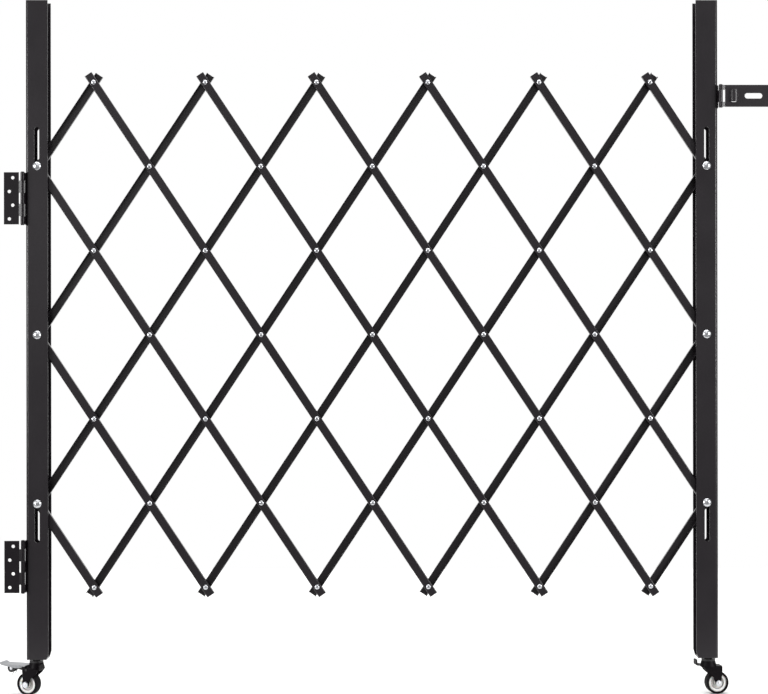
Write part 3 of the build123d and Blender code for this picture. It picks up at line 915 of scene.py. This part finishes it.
class GATE_OT_make_brake_spring(Operator):
    """Make the wire spring wound on the brake pedal's eye, and the eye's pin"""

    bl_idname = "gate.make_brake_spring"
    bl_label = "Brake spring"

    def execute(self, context):
        sizes = context.scene.gate_sizes
        wire, coil = sizes.spring_wire, sizes.spring_coil
        eye_length = 16.0 * MM
        turns = 11
        pitch = (eye_length - 2 * wire) / turns
        clear_selection()
        bpy.ops.mesh.primitive_circle_add(vertices=8, radius=wire, location=(0, 0, 0))
        spring = bpy.context.object
        set_in_place(spring, (math.pi / 2, 0, 0), (coil, 0, wire))
        apply_modifier(spring, "SCREW", axis="Z", angle=2 * math.pi, screw_offset=pitch,
                       iterations=turns, steps=24, render_steps=24, use_merge_vertices=False)
        # Where each leg leaves the coil, and its runs across and along, in millimetres.
        legs = (
            (wire, ((0.3, -3.0), (0.6, -6.5))),
            (wire + pitch * turns, ((1.4, -1.2), (0.5, -8.3))),
        )
        for level, runs in legs:
            pick_points(spring, lambda place: abs(place.z - level) < wire * 1.01
                        and abs(place.y) < 0.01 * MM and place.x > 0)
            for across, along in runs:
                step = (across * MM, along * MM, 0)
                bpy.ops.mesh.extrude_region_move(TRANSFORM_OT_translate={"value": step})
            bpy.ops.mesh.edge_face_add()
            bpy.ops.object.mode_set(mode="OBJECT")
        tidy_mesh(spring, 60.0)
        # The eye lies out from the caster's stem, under the foot plate.
        eye_out, eye_height = 59.0 * MM, 57.5 * MM
        leg_turn = math.radians(147.0)
        stem = middle("left_caster_stem")
        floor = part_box("left_caster_tyre")[0].z
        turn = LEFT_CASTER_TURN
        out = Vector((math.cos(turn), math.sin(turn), 0))
        place = Vector((stem.x, stem.y, floor + eye_height)) + out * eye_out
        set_in_place(spring, (0, 0, leg_turn), (0, 0, 0))
        set_in_place(spring, (-math.pi / 2, 0, 0), (0, -eye_length / 2, 0))
        set_in_place(spring, (0, 0, turn), place)
        made = join("brake_spring", [spring])
        fit(made, "brake", black_enamel("black_enamelled_pressing"), "caster_steel")
        half, radius = eye_length / 2 + 0.8 * MM, sizes.eye_pin
        pin = draw_out("brake_eye_pin", sizes.round_sides, [
            (radius * 0.5, -half),
            (radius * 0.85, -half + 0.3 * MM),
            (radius, -half + 0.9 * MM),
            (radius, half - 0.9 * MM),
            (radius * 0.85, half - 0.3 * MM),
            (radius * 0.5, half),
        ])
        set_in_place(pin, (-math.pi / 2, 0, 0), (0, 0, 0))
        set_in_place(pin, (0, 0, turn), place)
        fit(pin, "brake", bright_zinc(), "zinc_plate")
        return {"FINISHED"}


class GATE_OT_make_welds(Operator):
    """Lay the weld beads of the hasp leaf and the posts' base plates"""

    bl_idname = "gate.make_welds"
    bl_label = "Weld beads"

    def bead(self, name, run, start, direction):
        """A rippled bead from a point, along X, Y or Z."""
        radius = bpy.context.scene.gate_sizes.weld_bead
        ripple = 1.6 * MM
        count = max(2, int(run / ripple))
        step = run / count
        rings = [(radius * 0.35, 0.0), (radius * 0.8, step * 0.3)]
        for number in range(1, count):
            rings += [(radius, number * step), (radius * 0.86, number * step + step * 0.35)]
        rings += [(radius * 0.8, run - step * 0.3), (radius * 0.35, run)]
        made = draw_out(name, 12, rings)
        turns = {"X": (0, math.pi / 2, 0), "Y": (-math.pi / 2, 0, 0), "Z": (0, 0, 0)}
        return set_in_place(made, turns[direction], start)

    def execute(self, context):
        low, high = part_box("hasp_leaf")
        # The beads lie in the corner between the leaf and the post's web.
        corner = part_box("right_post")[1].x + 0.5 * MM
        front, back = post_front + 3.0 * MM, high.y
        beads = [
            self.bead("bead", back - front, (corner, front, high.z), "Y"),
            self.bead("bead", back - front, (corner, front, low.z), "Y"),
            self.bead("bead", high.z - low.z, (corner, back, low.z), "Z"),
        ]
        fit(join("hasp_leaf_weld", beads), "right_frame", hasp_coat(), "hasp_steel")
        # Each base plate is 4 mm thick, between flanges of 2 mm sheet.
        plate, sheet = 4.0 * MM, 2.0 * MM
        for side, inset in (("left", 4.0 * MM), ("right", 6.0 * MM)):
            low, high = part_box(f"{side}_post")
            run = high.x - low.x - 10.0 * MM
            beads = [self.bead("bead", run, (low.x + inset, y, low.z + plate), "X")
                     for y in (low.y + sheet, high.y - sheet)]
            made = join(f"{side}_base_plate_weld", beads)
            fit(made, f"{side}_frame", post_coat(), "black_steel")
        return {"FINISHED"}


class GATE_OT_set_stage(Operator):
    """Set the camera, the soft lights and the pale floor"""

    bl_idname = "gate.set_stage"
    bl_label = "Stage"

    def soft_light(self, name, place, target, width, height, watts):
        """A large area light that faces a point."""
        clear_selection()
        bpy.ops.object.light_add(type="AREA", location=place)
        light = bpy.context.object
        light.name = name
        aim = Vector(target) - Vector(place)
        light.rotation_euler = aim.to_track_quat("-Z", "Y").to_euler()
        light.data.shape = "RECTANGLE"
        light.data.size = width
        light.data.size_y = height
        light.data.energy = watts

    def execute(self, context):
        scene = context.scene
        stage = scene.gate_stage
        low, high = cad_box
        centre = (low + high) / 2
        clear_selection()
        bpy.ops.object.camera_add(location=stage.camera_place, rotation=stage.camera_turn)
        camera = context.object
        camera.name = "photo_camera"
        camera.data.sensor_width = 36.0
        camera.data.lens = stage.lens
        camera.data.clip_start = 0.05
        camera.data.clip_end = 200.0
        scene.camera = camera
        # Each side light stands outside its post and in front of it.
        left, right = Vector((low.x, centre.y, 0.85)), Vector((high.x, centre.y, 0.85))
        beside_left, beside_right = left + Vector((-1.9, -1.8, 0)), right + Vector((1.9, -1.8, 0))
        for name, place, target, width, height, watts in (
            ("key_light", (0.8, -3.2, 3.0), centre, 2.4, 1.2, stage.key_power),
            ("fill_light", (-0.6, -3.7, 1.05), centre, 1.4, 0.7, stage.fill_power),
            ("left_light", beside_left, left, 1.0, 1.2, stage.side_power),
            ("right_light", beside_right, right, 1.0, 1.2, stage.side_power),
            ("top_light", (0.8, 0.6, 2.9), (0.8, 0.6, 0), 3.6, 3.0, stage.top_power),
            ("back_light", (0.8, 3.4, 1.2), centre, 5.0, 3.4, stage.back_power),
        ):
            self.soft_light(name, place, target, width, height, watts)
        clear_selection()
        bpy.ops.mesh.primitive_plane_add(size=1.0)
        floor = context.object
        floor.name = "studio_floor"
        floor.scale = (stage.floor_width, stage.floor_depth, 1.0)
        # It reaches further behind the gate than in front of it.
        set_in_place(floor, (0, 0, 0), (centre.x, centre.y + 0.34 * stage.floor_depth, low.z))
        floor.data.materials.append(painted_floor("painted_studio_floor"))
        world = bpy.data.worlds.new("studio_walls")
        scene.world = world
        world.use_nodes = True
        tree = world.node_tree
        tree.nodes.clear()
        rays = add_node(tree, "ShaderNodeLightPath")
        # White where the camera looks past the gate, and dimmer where it lights the gate.
        walls = blend(tree, rays.outputs["Is Camera Ray"], [stage.surround] * 3 + [1.0],
                      [1.0, 1.0, 1.0, 1.0])
        glow = add_node(tree, "ShaderNodeBackground", {"Color": walls, "Strength": 1.0})
        add_node(tree, "ShaderNodeOutputWorld", {"Surface": glow.outputs["Background"]})
        scene.view_settings.view_transform = "Standard"
        return {"FINISHED"}


STEPS = (
    GATE_OT_finish_steelwork,
    GATE_OT_lengthen_bars,
    GATE_OT_make_rivets,
    GATE_OT_make_post_bolts,
    GATE_OT_make_hinge_screws,
    GATE_OT_make_axle_nuts,
    GATE_OT_make_brake_spring,
    GATE_OT_make_welds,
    GATE_OT_set_stage,
)


class GATE_PT_workshop(Panel):
    """Sizes, colours and steps of the gate"""

    bl_label = "Folding gate"
    bl_idname = "GATE_PT_workshop"
    bl_space_type = "VIEW_3D"
    bl_region_type = "UI"
    bl_category = "Gate"

    def draw(self, context):
        layout = self.layout
        for step in STEPS:
            layout.operator(step.bl_idname)
        scene = context.scene
        for group in (scene.gate_sizes, scene.gate_colours, scene.gate_stage):
            box = layout.box()
            for name in group.__annotations__:
                box.prop(group, name)


CLASSES = (GateHardwareSizes, GateFinishColours, GateStageSettings) + STEPS + (GATE_PT_workshop,)


def register():
    for kind in CLASSES:
        bpy.utils.register_class(kind)
    bpy.types.Scene.gate_sizes = PointerProperty(type=GateHardwareSizes)
    bpy.types.Scene.gate_colours = PointerProperty(type=GateFinishColours)
    bpy.types.Scene.gate_stage = PointerProperty(type=GateStageSettings)


def unregister():
    del bpy.types.Scene.gate_stage
    del bpy.types.Scene.gate_colours
    del bpy.types.Scene.gate_sizes
    for kind in reversed(CLASSES):
        bpy.utils.unregister_class(kind)


def main():
    """Makes every piece and the stage."""
    register()
    for step in STEPS:
        group, operation = step.bl_idname.split(".")
        getattr(getattr(bpy.ops, group), operation)()
    clear_selection()


if __name__ == "__main__":
    main()
